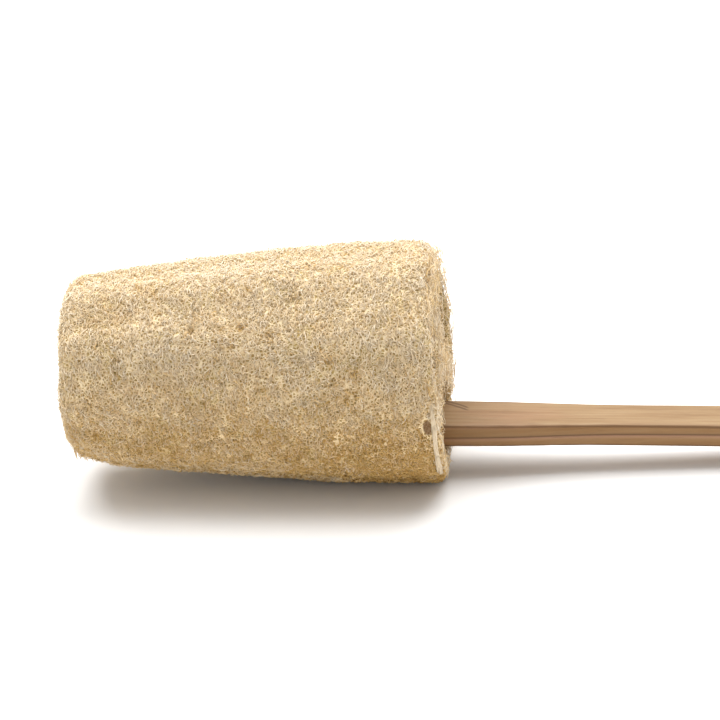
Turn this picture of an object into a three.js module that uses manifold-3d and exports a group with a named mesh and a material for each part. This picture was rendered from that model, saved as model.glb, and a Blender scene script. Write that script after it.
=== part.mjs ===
// A back scrubber: a natural loofah segment on a flat wooden stick, held by two wooden pegs.
// Millimetres, +Z up. The parts are drawn in the stick's own frame: X runs along the stick from the sponge's
// far end to the handle's tip, and Z = 0 is the middle of the stick's thickness. The whole scrubber is then
// leaned until it rests on the sponge's rim and the handle's tip, with the origin under its middle.
import * as THREE from "three";
import { mergeVertices } from "three/addons/utils/BufferGeometryUtils.js";
import Module from "manifold-3d";

// Sponge: a tapered round body, cut across at both ends.
const spongeLength = 144;
const mouthRadius = 46.6; // at the mouth, the end that the stick leaves
const farRadius = 35.6;
const mouthCorner = 3.5; // rounding of the cut edges
const farCorner = 8;
const mouthSlant = 1.5; // how far the cut leans: the lower rim reaches out, the upper rim falls back
const ribCount = 10; // soft lengthwise ribs
const ribHeight = 0.8;
const matThickness = 3.8; // the outer mat of fibre, around the seed chambers
const chamberCount = 3;
const septumThickness = 3; // walls between the chambers
const chamberOuterFillet = 8;
const chamberInnerFillet = 3;
const chamberCentreReach = 25; // from the sponge's axis, at the mouth
const lipNarrowing = 0.22; // share by which a chamber closes in at the cut ends
const lipReach = 14; // how far in from the ends that narrowing fades
const tearWidth = 2.7; // a worn hole through the mat on the front, beside the mouth's rim
const tearHeight = 7.5;
const tearDepth = 12;
const tearSetback = 4; // from the mouth to the middle of the tear
const tearAngle = THREE.MathUtils.degToRad(190); // round the sponge, from the back, over the top

// Stick: a flat slat with a neck in the sponge, a waist and a wider grip.
const stickThickness = 9.3;
const engagedLength = 90; // inside the sponge
const handleReach = 308; // from the mouth to the tip
const neckWidth = 24.5;
const waistWidth = 19.6;
const waistReach = 78; // from the mouth to the waist
const gripWidth = 28;
const stickEdge = 1.2; // worn rounding of the long edges
const innerEndRound = 12; // depth of the rounded ends
const tipRound = 15;
const hangHoleRadius = 4;
const hangHoleInset = 16; // from the tip to the hole's middle

// Where the stick sits in the sponge.
const axisAboveStick = 26.9; // the sponge's axis over the stick's, at the mouth
const spongePitch = THREE.MathUtils.degToRad(2); // the sponge's axis climbs towards the mouth
const sleeveWall = 3; // fibre kept round the stick
const keelWidth = 16; // of the fibre under the sleeve

// Pegs: driven up from below through the keel, the stick and the top of the sleeve.
const pegRadius = 2;
const pegProud = 2; // the point stands over the sleeve
const pegRecess = 1.5; // the head lies under the sponge's surface
const pegChamfer = 0.5;
const pegSetbacks = { peg_front: 24, peg_rear: 68 }; // from the mouth

const clearance = 0.3; // between pieces that touch
const cutOvershoot = 6; // how far a cutter runs past what it cuts
const aroundSponge = 64; // facets round the sponge
const alongSponge = 12;
const aroundPeg = 20;
const chamberSteps = 12;
const quarter = Math.PI / 2;

const wasm = await Module();
wasm.setup();

// A closed geometry as a solid. Triangles that shrink to a line, as at a lathe's poles, are dropped.
function toSolid(geometry) {
  const bare = geometry.clone();
  bare.deleteAttribute("normal");
  bare.deleteAttribute("uv");
  const merged = mergeVertices(bare);
  const corners = merged.index.array;
  const kept = [];
  for (let i = 0; i < corners.length; i += 3) {
    const [a, b, c] = corners.subarray(i, i + 3);
    if (a !== b && b !== c && c !== a) kept.push(a, b, c);
  }
  return new wasm.Manifold(
    new wasm.Mesh({
      numProp: 3,
      vertProperties: merged.attributes.position.array,
      triVerts: new Uint32Array(kept),
    }),
  );
}

function toGeometry(solid) {
  const mesh = solid.getMesh();
  const geometry = new THREE.BufferGeometry();
  geometry.setAttribute("position", new THREE.BufferAttribute(mesh.vertProperties, 3));
  geometry.setIndex(new THREE.BufferAttribute(mesh.triVerts, 1));
  geometry.computeVertexNormals();
  return geometry;
}

// Moves each vertex of a geometry by a rule that changes the point in place.
function reshape(geometry, rule) {
  const places = geometry.getAttribute("position");
  const point = new THREE.Vector3();
  for (let i = 0; i < places.count; i++) {
    point.fromBufferAttribute(places, i);
    rule(point);
    places.setXYZ(i, point.x, point.y, point.z);
  }
  return geometry;
}

// The sponge's radius, growing from the far end to the mouth and levelling off there.
function spongeRadius(along) {
  const share = THREE.MathUtils.clamp(along / spongeLength, 0, 1);
  return farRadius + (mouthRadius - farRadius) * Math.sin(share * quarter);
}

// The height of a rib or groove at an angle round the sponge. A groove lies on the underside.
function ribAt(angle) {
  return ribHeight * Math.cos(ribCount * angle);
}

// Takes a geometry from the sponge's own frame, with its axis on X from the far end, to the stick's frame.
function placeSponge(geometry) {
  geometry.rotateY(-spongePitch);
  return geometry.translate(
    spongeLength * (1 - Math.cos(spongePitch)),
    0,
    axisAboveStick - spongeLength * Math.sin(spongePitch),
  );
}

// The height of the sponge's underside in the stick's frame.
function spongeUnderside(x) {
  const axisHeight = axisAboveStick - (spongeLength - x) * Math.tan(spongePitch);
  return axisHeight - (spongeRadius(x) + ribAt(-quarter)) / Math.cos(spongePitch);
}

function spongeBody() {
  const outline = new THREE.Path();
  outline.moveTo(0, 0);
  outline.lineTo(spongeRadius(0) - farCorner, 0);
  outline.absarc(spongeRadius(farCorner) - farCorner, farCorner, farCorner, -quarter, 0);
  const shoulder = spongeLength - mouthCorner;
  for (let i = 1; i <= alongSponge; i++) {
    const along = THREE.MathUtils.lerp(farCorner, shoulder, i / alongSponge);
    outline.lineTo(spongeRadius(along), along);
  }
  outline.absarc(spongeRadius(shoulder) - mouthCorner, shoulder, mouthCorner, 0, quarter);
  outline.lineTo(0, spongeLength);
  const body = new THREE.LatheGeometry(outline.getPoints(4), aroundSponge);
  body.rotateZ(-quarter);
  return reshape(body, (point) => {
    const share = Math.hypot(point.y, point.z) / spongeRadius(point.x);
    const swell = 1 + (share * ribAt(Math.atan2(point.z, point.y))) / spongeRadius(point.x);
    const lean = (-point.z / mouthRadius) * mouthSlant * (point.x / spongeLength) ** 2;
    point.set(point.x + lean, point.y * swell, point.z * swell);
  });
}

// One chamber's section at the mouth: a third of the round inside the mat, with rounded corners.
function chamberSection() {
  const halfSector = Math.PI / chamberCount;
  const rim = mouthRadius - matThickness;
  const reach = rim - chamberOuterFillet;
  const halfWall = septumThickness / 2;
  const turn = halfSector - Math.asin((halfWall + chamberOuterFillet) / reach);
  const innerReach = (halfWall + chamberInnerFillet) / Math.sin(halfSector);
  const cornerX = reach * Math.cos(turn);
  const cornerY = reach * Math.sin(turn);
  const toWall = halfSector + quarter;
  const section = new THREE.Shape();
  section.absarc(0, 0, rim, -turn, turn);
  section.absarc(cornerX, cornerY, chamberOuterFillet, turn, toWall);
  section.absarc(innerReach, 0, chamberInnerFillet, toWall, 2 * Math.PI - toWall);
  section.absarc(cornerX, -cornerY, chamberOuterFillet, -toWall, -turn);
  return section;
}

// How near a place along the sponge is to a cut end, from 0 deep inside to 1 at the cut.
function nearEnd(along) {
  const distance = Math.max(0, Math.min(along, spongeLength - along));
  return Math.exp(-((distance / lipReach) ** 2));
}

// A chamber from end to end. It narrows with the sponge, and to a lip at each cut. The angle is counted from
// the back, over the top.
function chamber(angle) {
  const shape = new THREE.ExtrudeGeometry(chamberSection(), {
    depth: spongeLength + 2 * cutOvershoot,
    steps: chamberSteps,
    bevelEnabled: false,
    curveSegments: 4,
  });
  shape.translate(0, 0, -cutOvershoot);
  reshape(shape, (point) => {
    const taper = (spongeRadius(point.z) - matThickness) / (mouthRadius - matThickness);
    const lip = 1 - lipNarrowing * nearEnd(point.z);
    point.x = taper * (chamberCentreReach + (point.x - chamberCentreReach) * lip);
    point.y *= taper * lip;
  });
  shape.rotateZ(angle);
  shape.rotateX(quarter);
  return shape.rotateZ(quarter);
}

// The tear: an oval way through the mat, from outside into the front upper chamber.
function tear() {
  const section = new THREE.Shape();
  section.absellipse(0, 0, tearWidth / 2, tearHeight / 2, 0, 2 * Math.PI);
  const way = new THREE.ExtrudeGeometry(section, {
    depth: tearDepth + cutOvershoot,
    bevelEnabled: false,
    curveSegments: 6,
  });
  way.rotateX(quarter);
  way.translate(spongeLength - tearSetback, tearDepth - mouthRadius, 0);
  return way.rotateX(tearAngle - Math.PI);
}

// Runs an outline from where it is to a new place, starting and ending along X.
function easeTo(outline, fromX, fromY, toX, toY) {
  const handle = 0.45 * (toX - fromX);
  outline.bezierCurveTo(fromX + handle, fromY, toX - handle, toY, toX, toY);
}

// The slat seen from above, grown all round by a margin.
function slatOutline(margin) {
  const mouth = spongeLength;
  const innerCentre = mouth - engagedLength + innerEndRound;
  const waist = mouth + waistReach;
  const tipCentre = mouth + handleReach - tipRound;
  const neck = neckWidth / 2 + margin;
  const narrow = waistWidth / 2 + margin;
  const grip = gripWidth / 2 + margin;
  const outline = new THREE.Shape();
  outline.moveTo(innerCentre, -neck);
  outline.lineTo(mouth, -neck);
  easeTo(outline, mouth, -neck, waist, -narrow);
  easeTo(outline, waist, -narrow, tipCentre, -grip);
  outline.absellipse(tipCentre, 0, tipRound + margin, grip, -quarter, quarter);
  easeTo(outline, tipCentre, grip, waist, narrow);
  easeTo(outline, waist, narrow, mouth, neck);
  outline.lineTo(innerCentre, neck);
  outline.absellipse(innerCentre, 0, innerEndRound + margin, neck, quarter, 3 * quarter);
  return outline;
}

// A plain slab of the slat's outline, grown by a margin on every side.
function slatSlab(margin) {
  const depth = stickThickness + 2 * margin;
  const slab = new THREE.ExtrudeGeometry(slatOutline(margin), { depth, bevelEnabled: false });
  return slab.translate(0, 0, -depth / 2);
}

// The fibre that grips the stick: a sleeve round it, on a keel that stands on the sponge's floor.
function sleeve() {
  const around = 2 * (clearance + sleeveWall);
  const length = engagedLength + sleeveWall;
  const floor = spongeUnderside(spongeLength) - cutOvershoot;
  const grip = new THREE.BoxGeometry(length, neckWidth + around, stickThickness + around);
  const keel = new THREE.BoxGeometry(length, keelWidth, -floor);
  grip.translate(spongeLength - length / 2, 0, 0);
  keel.translate(spongeLength - length / 2, 0, floor / 2);
  return toSolid(grip).add(toSolid(keel));
}

// A round upright, in the stick's frame.
function upright(radius, x, bottom, top) {
  const post = new THREE.CylinderGeometry(radius, radius, top - bottom, aroundPeg);
  post.rotateX(quarter);
  return post.translate(x, 0, (top + bottom) / 2);
}

function pegPlace(setback) {
  const x = spongeLength - setback;
  const top = stickThickness / 2 + clearance + sleeveWall + pegProud;
  return { x, bottom: spongeUnderside(x) + pegRecess, top };
}

function pegHole(setback) {
  const { x, bottom, top } = pegPlace(setback);
  return upright(pegRadius + clearance, x, bottom - cutOvershoot, top + clearance);
}

function spongeSolid() {
  const body = toSolid(placeSponge(spongeBody()));
  let hollow = body;
  for (let i = 0; i < chamberCount; i++) {
    const angle = -quarter + (i * 2 * Math.PI) / chamberCount;
    hollow = hollow.subtract(toSolid(placeSponge(chamber(angle))));
  }
  let sponge = hollow.add(sleeve().intersect(body));
  sponge = sponge.subtract(toSolid(slatSlab(clearance)));
  sponge = sponge.subtract(toSolid(placeSponge(tear())));
  for (const setback of Object.values(pegSetbacks)) {
    sponge = sponge.subtract(toSolid(pegHole(setback)));
  }
  return sponge;
}

function stickSolid() {
  const outline = slatOutline(0);
  const hangHole = new THREE.Path();
  hangHole.absarc(spongeLength + handleReach - hangHoleInset, 0, hangHoleRadius, 0, 2 * Math.PI, true);
  outline.holes.push(hangHole);
  const slat = new THREE.ExtrudeGeometry(outline, {
    depth: stickThickness - 2 * stickEdge,
    bevelThickness: stickEdge,
    bevelSize: stickEdge,
    bevelOffset: -stickEdge,
    bevelSegments: 2,
    curveSegments: 12,
  });
  slat.translate(0, 0, stickEdge - stickThickness / 2);
  let stick = toSolid(slat);
  for (const setback of Object.values(pegSetbacks)) {
    stick = stick.subtract(toSolid(pegHole(setback)));
  }
  return stick;
}

function pegGeometry(setback) {
  const { x, bottom, top } = pegPlace(setback);
  const length = top - bottom;
  const outline = [
    new THREE.Vector2(0, 0),
    new THREE.Vector2(pegRadius - pegChamfer, 0),
    new THREE.Vector2(pegRadius, pegChamfer),
    new THREE.Vector2(pegRadius, length - pegChamfer),
    new THREE.Vector2(pegRadius - pegChamfer, length),
    new THREE.Vector2(0, length),
  ];
  const peg = new THREE.LatheGeometry(outline, aroundPeg);
  peg.rotateX(quarter);
  return peg.translate(x, 0, bottom);
}

function loofahFibre() {
  return new THREE.MeshStandardMaterial({ color: 0xc9b085, roughness: 0.95, metalness: 0 });
}

function stickWood() {
  return new THREE.MeshStandardMaterial({ color: 0xb98f64, roughness: 0.6, metalness: 0 });
}

function pegWood() {
  return new THREE.MeshStandardMaterial({ color: 0xd8bd8c, roughness: 0.7, metalness: 0 });
}

function named(name, geometry, material) {
  const mesh = new THREE.Mesh(geometry, material);
  mesh.name = name;
  return mesh;
}

// The lowest height of a mesh's vertices when the scrubber leans tip-down by an angle.
function lowestAt(mesh, lean) {
  const places = mesh.geometry.getAttribute("position");
  let lowest = Infinity;
  for (let i = 0; i < places.count; i++) {
    lowest = Math.min(lowest, places.getZ(i) * Math.cos(lean) - places.getX(i) * Math.sin(lean));
  }
  return lowest;
}

// The lean at which the sponge and the stick touch the floor together, found by halving.
function restingLean(sponge, stick) {
  let low = 0;
  let high = quarter / 3;
  for (let i = 0; i < 40; i++) {
    const middle = (low + high) / 2;
    if (lowestAt(stick, middle) > lowestAt(sponge, middle)) low = middle;
    else high = middle;
  }
  return (low + high) / 2;
}

function scrubber() {
  const sponge = named("loofah_sponge", toGeometry(spongeSolid()), loofahFibre());
  const stick = named("handle_stick", toGeometry(stickSolid()), stickWood());
  const group = new THREE.Group();
  group.add(sponge, stick);
  for (const [name, setback] of Object.entries(pegSetbacks)) {
    group.add(named(name, pegGeometry(setback), pegWood()));
  }
  group.rotation.y = restingLean(sponge, stick);
  const box = new THREE.Box3().setFromObject(group, true);
  const middle = box.getCenter(new THREE.Vector3());
  group.position.set(-middle.x, -middle.y, -box.min.z);
  return group;
}

export default scrubber();
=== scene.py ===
import math

import bpy
import numpy as np
from mathutils import Matrix, Vector, noise
from mathutils.bvhtree import BVHTree


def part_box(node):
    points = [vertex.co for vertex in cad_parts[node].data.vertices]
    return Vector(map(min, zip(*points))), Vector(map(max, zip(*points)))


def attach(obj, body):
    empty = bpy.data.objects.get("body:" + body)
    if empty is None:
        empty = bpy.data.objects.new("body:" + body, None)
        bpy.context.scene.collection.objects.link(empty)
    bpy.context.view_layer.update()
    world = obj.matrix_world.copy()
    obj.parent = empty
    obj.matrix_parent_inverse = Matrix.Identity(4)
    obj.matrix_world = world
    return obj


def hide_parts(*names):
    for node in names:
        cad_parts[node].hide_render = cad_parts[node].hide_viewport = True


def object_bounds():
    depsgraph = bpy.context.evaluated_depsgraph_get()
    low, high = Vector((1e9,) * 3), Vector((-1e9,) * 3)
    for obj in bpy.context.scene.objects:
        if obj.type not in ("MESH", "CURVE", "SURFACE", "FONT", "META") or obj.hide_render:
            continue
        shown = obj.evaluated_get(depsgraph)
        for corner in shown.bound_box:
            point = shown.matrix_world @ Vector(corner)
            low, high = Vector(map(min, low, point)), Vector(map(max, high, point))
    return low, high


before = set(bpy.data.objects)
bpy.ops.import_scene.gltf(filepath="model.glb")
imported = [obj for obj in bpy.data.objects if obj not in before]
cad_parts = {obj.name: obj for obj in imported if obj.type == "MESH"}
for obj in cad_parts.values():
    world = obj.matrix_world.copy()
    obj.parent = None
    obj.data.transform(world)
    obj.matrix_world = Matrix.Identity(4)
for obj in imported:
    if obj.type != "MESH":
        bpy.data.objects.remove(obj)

cad_box = [list(corner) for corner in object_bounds()]

MM = 0.001
SEED = 20
NOISE_SHIFTS = {  # where each noise is read, so that no two are alike
    "lumps": 3.1,
    "knots": 7.7,
    "ridges": 15.2,
    "mouth": 31.4,
    "calm": 11.3,
    "tone": 21.7,
    "wide_tone": 5.3,
    "stick_swell": 1.9,
    "stick_ripple": 4.4,
}

# How the loofah's shape is read from its solid
FAR_SLICE = 35 * MM  # the slices whose heights place its axis
MOUTH_SLICE = 12 * MM
RADIUS_STEPS = 60  # the places along it where its radius is taken
RADIUS_SPANS = 14  # each takes in the points within a fourteenth of its length
END_FACING = (0.55, 0.85)  # a face that looks along it this much is on an end
OUTSIDE_FACING = (0.1, 0.5)  # one that looks away from its axis this much is outside
OUTSIDE_RADIUS = 0.6  # of the mouth's radius: nothing further in is outside
CORNER_LENGTH = 20 * MM  # at the far end the outside turns in, and counts whole
CORNER_FACING = 0.2
CORNER_RADIUS = 22 * MM
END_RIM = 6 * MM  # this much of an end's rim is outside too

# The loofah's felt
FELT_VOXEL = 1.26 * MM
FELT_SMOOTHING = 2
MERGE_DISTANCE = 0.005 * MM
FELT_SINK = 0.9 * MM  # the felt body lies this far under the fibres outside
END_SINK = 0.4 * MM  # and this far under those on the ends
CHAMBER_FILL = 1.7 * MM  # how far the felt thickens into the seed chambers
END_RELIEF = 0.6  # lumps on the ends and in the chambers, against outside
CHAMBER_RELIEF = 1.3
STICK_CLEARANCE = (0.6 * MM, 4.0 * MM)  # off the stick: from still to wholly free
LUMP_SIZE = 21 * MM
LUMP_HEIGHT = 0.75 * MM
KNOT_SIZE = 5.5 * MM
KNOT_HEIGHT = 0.38 * MM
RIDGE_LENGTH = 75 * MM
RIDGE_WIDTH = 6.5 * MM
RIDGE_HEIGHT = 0.42 * MM
MOUTH_BAND = 13 * MM  # how far back from the mouth its cut edge is uneven
MOUTH_WAVE = 11 * MM
MOUTH_GRAIN = (0.4, 1, 1)  # draws the unevenness out along the loofah
MOUTH_UNEVEN = 1.5 * MM
CUT_BAND = 24 * MM  # how far back the cut's shape is felt
CUT_RIM = (0.80, 0.93)  # of the mouth's radius: from still to wholly moved
CUT_STICK_GAP = (5 * MM, 10 * MM)
CUT_SHIFTS = (  # how far the cut reaches out, at degrees round from level on the front
    (-180, 0), (-155, -1.0), (-135, -3.0), (-110, -3.0), (-90, -2.0), (-62, 0.8), (-40, 2.8), (-10, 3.1),
    (15, 2.5), (45, 1.0), (80, 0), (95, -0.5), (115, -2.5), (140, -3.0), (165, -1.0), (180, 0),
)
STICK_RECESS = 3.0 * MM  # how far the fibre round the stick lies inside the mouth
RECESS_GAP = (8 * MM, 4 * MM)  # off the stick: from still to wholly drawn in
RECESS_RADIUS = 0.8  # of the mouth's radius: the rim is not drawn in
FAR_STRETCH = 1.1 * MM  # how far the far end reaches past its drawn length
FAR_TUCK = 2.0 * MM  # how far its lower front corner draws in
FAR_BAND = 26 * MM
FAR_LOW_SIDE = (0.1, -0.6)  # of its radius, up from the axis: from still to tucked
PIT_COUNT = 260
PIT_RADIUS = (0.5 * MM, 1.5 * MM)
PIT_SHRINK = (0.6, 1.0)  # each radius is also cut to this much of itself
PIT_SLOPE = (0.5, 1.6)  # of its radius: where a pit's floor ends and its edge lies
PIT_DEPTH = 1.0 * MM
PIT_GROUND = 0.9  # pits lie only where the felt is at least this much outside

# The tear beside the mouth
TEAR_SETBACK = 2.7 * MM  # from the mouth to its middle
TEAR_ANGLE = math.radians(-10)  # round from level, on the front
TEAR_HALF = (1.6 * MM, 4.6 * MM)  # half its size, along the loofah and round it
TEAR_EDGE = (0.7, 1.0)  # of its size: from wholly torn to whole
TEAR_OPENING = (0.5 * MM, 1.5 * MM)  # how far its sides are pulled apart, both ways
TEAR_PULL = 2.2 * MM  # how far beyond it the felt is pulled
TEAR_CORE = 0.3  # of its size: the pull slackens inside this
TEAR_LIP = 2.0 * MM  # how far beyond it the felt keeps its level
TEAR_DEPTH = 11 * MM
TEAR_LIMIT = 0.3  # a fibre further in the tear than this is left out
# Painted shade in the hollow behind the tear: how far it reaches each way, how deep its middle lies, and
# its edge
TEAR_SHADE_REACH = (2.4 * MM, 6.0 * MM, 5.2 * MM)
TEAR_SHADE_DEPTH = 5.5 * MM
TEAR_SHADE_EDGE = (0.7, 1.2)

# The loofah's fibres
OUTER_FIBRES = 46000
END_FIBRES = 5400
CHAMBER_FIBRES = 4200
CHAMBER_THINNING = 26 * MM  # how far from an end the fibres in a chamber thin out
FIBRES_PER_PIECE = 7200
FIBRE_RINGS = 5
FIBRE_SIDES = 3
FIBRE_RADIUS = (0.12 * MM, 0.215 * MM)
FIBRE_LENGTH = (1.9 * MM, 5.2 * MM)
FIBRE_TAPER = (0.45, 0.95, 1.0, 0.95, 0.45)
RADIUS_SKEW = 1.2  # above 1, more fibres are thin, and more are short
LENGTH_SKEW = 1.3
START_SPREAD = 0.35 * MM
HEADING_SPREAD = 1.2  # radians off the way round the loofah
CALM_SIZE = 30 * MM  # patches outside where the fibres lie more in order
CALM_RANGE = (-0.2, 0.5)
CALM_SPREAD = (0.42, 0.5)  # the spread in them, and what is added outside them
WANDER = 0.62  # radians that a fibre bends at each step
WANDER_CHANGE = 0.5  # how much the bend changes from step to step, against it
STEADY = 0.6  # a fibre that turns over a sharper fold is left out
START_GAP = 0.9 * MM  # no fibre starts nearer the stick
FIBRE_GAP = 0.3 * MM  # none comes nearer
FLOOR_GAP = 0.1 * MM
WEAVE = 0.20 * MM  # how far a fibre waves up and down
WEAVE_TURN = 3.4  # radians of the wave in half its length
DIVE_POWER = 2.2  # how late a fibre dips towards its ends
LAY = {  # lowest level, spread of levels, dive at the ends
    "outside": (-0.75 * MM, 1.15 * MM, 0.9 * MM),
    "end": (-0.5 * MM, 1.0 * MM, 0.8 * MM),
    "chamber": (0.3 * MM, 3.0 * MM, 2.0 * MM),
    "strap": (0.05 * MM, 0.35 * MM, 0.4 * MM),
}

# The smooth strap of fibres on the rim, beside the tear and below it
STRAP_FIBRES = 150
STRAP_SETBACK = -0.1 * MM
STRAP_HALF_WIDTH = 1.2 * MM
STRAP_ANGLES = (math.radians(-4), math.radians(-47))
STRAP_LENGTH = (6 * MM, 17 * MM)
STRAP_WANDER = 0.03
STRAP_BED = 0.7 * MM  # how far the other fibres sink beneath it

# The loose web across the chambers' mouths
WEB_FIBRES = {"mouth": 3400, "far": 1900}
WEB_TRIES = 14  # places tried for each fibre
WEB_DEPTH = 11 * MM  # how far it reaches into the chambers
WEB_PROUD = {"mouth": 1.4 * MM, "far": -1.2 * MM}
WEB_REACH_OUT = {"mouth": 1.5 * MM, "far": 0.2 * MM}
WEB_THICKNESS = 4.2 * MM  # how fast it thins away from the felt
WEB_RIM = 3 * MM  # how far inside the loofah's outside it ends
WEB_LENGTH = (4 * MM, 11 * MM)
WEB_ACROSS = (0.3, 1, 1)  # its fibres run across the loofah more than along it
WEB_LOOSENESS = 0.35  # how much of their heading is not level with the felt
WEB_WANDER = 0.32
WEB_START_GAP = 2.6 * MM  # from the stick
WEB_GAP = 0.8 * MM
WEB_MOUTH_GAP = 3.5 * MM  # from the stick, for a fibre that comes out of the mouth
WEB_MOUTH_BAND = 3 * MM

# A fibre's tone, from 0 for pale to 1 for ochre, and its brightness; both carry painted shade
TONE_MIDDLE = 0.30
TONE_SPREAD = 0.14
TONE_CLOUD = 0.16
TONE_CLOUD_SIZE = 9 * MM
TONE_WIDE_CLOUD = 0.10
TONE_WIDE_CLOUD_SIZE = 32 * MM
# painted shade and inter-reflected tint on the deepest fibres
TONE_DEEP_SHADE = 0.20  # added for a fibre that lies deepest
# fibres in pits: more ochre, partly their own colour and partly painted shade
TONE_PIT = 0.28
TONE_NEAR_MOUTH = 0.26  # added low down near the mouth
NEAR_MOUTH = (75 * MM, 20 * MM)
NEAR_MOUTH_HEIGHTS = (0.5, 0.2)  # of the mouth's width
# painted shade and inter-reflected tint: fibres turn darker and more ochre towards the floor
TONE_FLOOR_SHADE = 0.40  # added towards the floor
FIBRE_FLOOR_SHADE_HEIGHTS = (0.95, 0.10)  # of the mouth's width
TONE_OUTSIDE = -0.08
# fibres in the chambers: more ochre, partly their own colour and partly painted shade
TONE_CHAMBER = 0.14
TONE_STRAP = (0.22, 0.36)
TONE_LIMITS = (0.01, 0.97)
# painted shade: a fibre that lies deeper among the others is painted dimmer
LIGHT_LOW = 0.66
LIGHT_RISE = 0.30  # added for a fibre that lies on top
LIGHT_SPREAD = 0.10
# painted shade on fibres in pits
LIGHT_PIT_SHADE = -0.12
# painted shade on fibres in the chambers
LIGHT_CHAMBER_SHADE = -0.12
LIGHT_STRAP = (0.70, 0.86)
LIGHT_LIMITS = (0.01, 0.95)
CORNER_TONE = 0.004  # a fibre's own corners and rings lie this far apart
RING_LIGHT = 0.03

# The loofah's colours
# the ground is the felt's own ochre, made darker as painted shade in the gaps between the strands
FELT_COLOURS = [
    (0.20, (0.36, 0.235, 0.085)),
    (0.50, (0.64, 0.475, 0.235)),
    (0.80, (0.90, 0.745, 0.50)),
]
FELT_OLIVE = (0.50, 0.37, 0.13)
# painted shade and inter-reflected tint, multiplied in towards the floor
FELT_FLOOR_SHADE = (1.0, 0.92, 0.77)  # multiplies the colour towards the floor
FLOOR_SHADE_HEIGHTS = (0.010, 0.072)
# the dark colour painted as shade in the hollow behind the tear
TEAR_SHADE_COLOUR = (0.17, 0.088, 0.036)
NET_SCALE = 780.0
NET_EDGE = (0.03, 0.30)
NET_SHARE = 0.62  # of the net and of the fine grain, in the colour
GRAIN_SHARE = 0.5
GRAIN_SCALE = 900.0
CLOUD_SCALE = 70.0
CLOUD_EDGE = (0.48, 0.66)
FIBRE_COLOURS = [
    (0.0, (0.94, 0.83, 0.66)),
    (0.35, (0.91, 0.765, 0.555)),
    (0.6, (0.87, 0.665, 0.385)),
    (0.8, (0.82, 0.565, 0.235)),
    (1.0, (0.66, 0.41, 0.125)),
]
# a dim copy of each fibre's colour, mixed in by its brightness: its own darker tone and painted shade
FIBRE_DIM = (0.68, 0.64, 0.58)

# The stick
STICK_HALF_WIDTH = 12.5 * MM
STICK_VOXEL = 0.62 * MM
STICK_SMOOTHING = 3
STICK_SWELL = (34 * MM, 0.10 * MM)  # size and height
STICK_RIPPLE = (9 * MM, 0.02 * MM)
WOOD_COLOURS = [
    (0.26, (0.205, 0.112, 0.046)),
    (0.44, (0.278, 0.167, 0.075)),
    (0.60, (0.320, 0.204, 0.098)),
    (0.80, (0.362, 0.242, 0.128)),
]
WOOD_PINK = (0.33, 0.172, 0.090)
# painted shade on the stick's sides
WOOD_SIDE_SHADE = (0.245, 0.108, 0.024)
# painted shade along the stick's rounded edges
WOOD_EDGE_SHADE = (0.115, 0.054, 0.020)
WOOD_PORE = (0.165, 0.088, 0.038)
WOOD_NEAR_SPONGE = (0.215, 0.120, 0.040)
STREAK_SCALE = (15.0, 380.0, 380.0)
PORE_SCALE = (75.0, 2300.0, 2300.0)
PATCH_SCALE = (13.0, 75.0, 75.0)
SIDE_FACING = (0.35, 0.8)
EDGE_FACING = (0.12, 0.45)
NEAR_SPONGE = (2 * MM, 38 * MM)
RING_SWAY = 2.4 * MM
RING_SWAY_SCALE = (8.0, 26.0, 26.0)
RING_BOW = 7.0  # how a ring curves across the stick
RING_CLIMB = 0.0145  # how it climbs along the stick
RING_START = 0.15 * MM
RING_LIMITS = (-2.4 * MM, 2.8 * MM)
LATE_LINE = (0.2 * MM, 0.8 * MM)
LATE_LINE_COLOUR = (0.100, 0.044, 0.015)
LATE_LINE_SHARE = (0.12, 0.7)  # on the top, and what is added on the sides
LATE_FADE = (0.3 * MM, 1.6 * MM)
LATE_FADE_COLOUR = (0.205, 0.113, 0.050)
LATE_FADE_SHARE = (0.25, 0.65)
EARLY_GLOW = (-2.0 * MM, -0.4 * MM)
EARLY_EDGE = -0.1 * MM
EARLY_COLOUR = (0.40, 0.215, 0.125)
BOWED_LINES = (  # in its grain at the mouth: start across, fall along, bow
    (10.5 * MM, 0.55, 8.0),
    (11.3 * MM, 0.20, 28.0),
)
BOWED_START = 4 * MM  # inside the mouth
BOWED_LENGTH = 11 * MM
BOWED_WIDTH = 0.42 * MM
BOWED_COLOUR = (0.085, 0.038, 0.015)
PEG_COLOURS = [
    (0.3, (0.47, 0.30, 0.13)),
    (0.7, (0.66, 0.47, 0.23)),
]
PEG_SCALE = (900.0, 900.0, 60.0)

# The studio
VIEW_AZIMUTH = 7.5
VIEW_ELEVATION = 23.5
VIEW_DISTANCE = 1.5
FIELD_WIDTH = 0.2795  # metres across the view, at the object
VIEW_TARGET = (-32 * MM, 1.2 * MM)  # along from the mouth, and up from the sponge's middle
STICK_FALL_IN_VIEW = 0.5  # degrees that the stick falls to the right
SENSOR_WIDTH = 36.0
FLOOR_SIZE = 12
FLOOR_COLOURS = [(0.0, (0.87,) * 3), (1.0, (0.89,) * 3)]
SKY_COLOUR = (1.0, 0.99, 0.975, 1.0)
SKY_STRENGTH = 0.71
SOFTBOX_OFFSET = -0.1  # along the stick, from the object's middle
SOFTBOX_BEHIND = 0.45
SOFTBOX_HEIGHT = 1.5
SOFTBOX_SIZE = (2.2, 1.8)
SOFTBOX_POWER = 51.0


def deselect_all():
    bpy.ops.object.select_all(action="DESELECT")


def pick(piece):
    deselect_all()
    piece.select_set(True)
    bpy.context.view_layer.objects.active = piece


def apply_modifier(piece, kind, settings):
    pick(piece)
    modifier = piece.modifiers.new(kind.lower(), kind)
    for name, value in settings.items():
        setattr(modifier, name, value)
    bpy.ops.object.modifier_apply(modifier=modifier.name)


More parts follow.
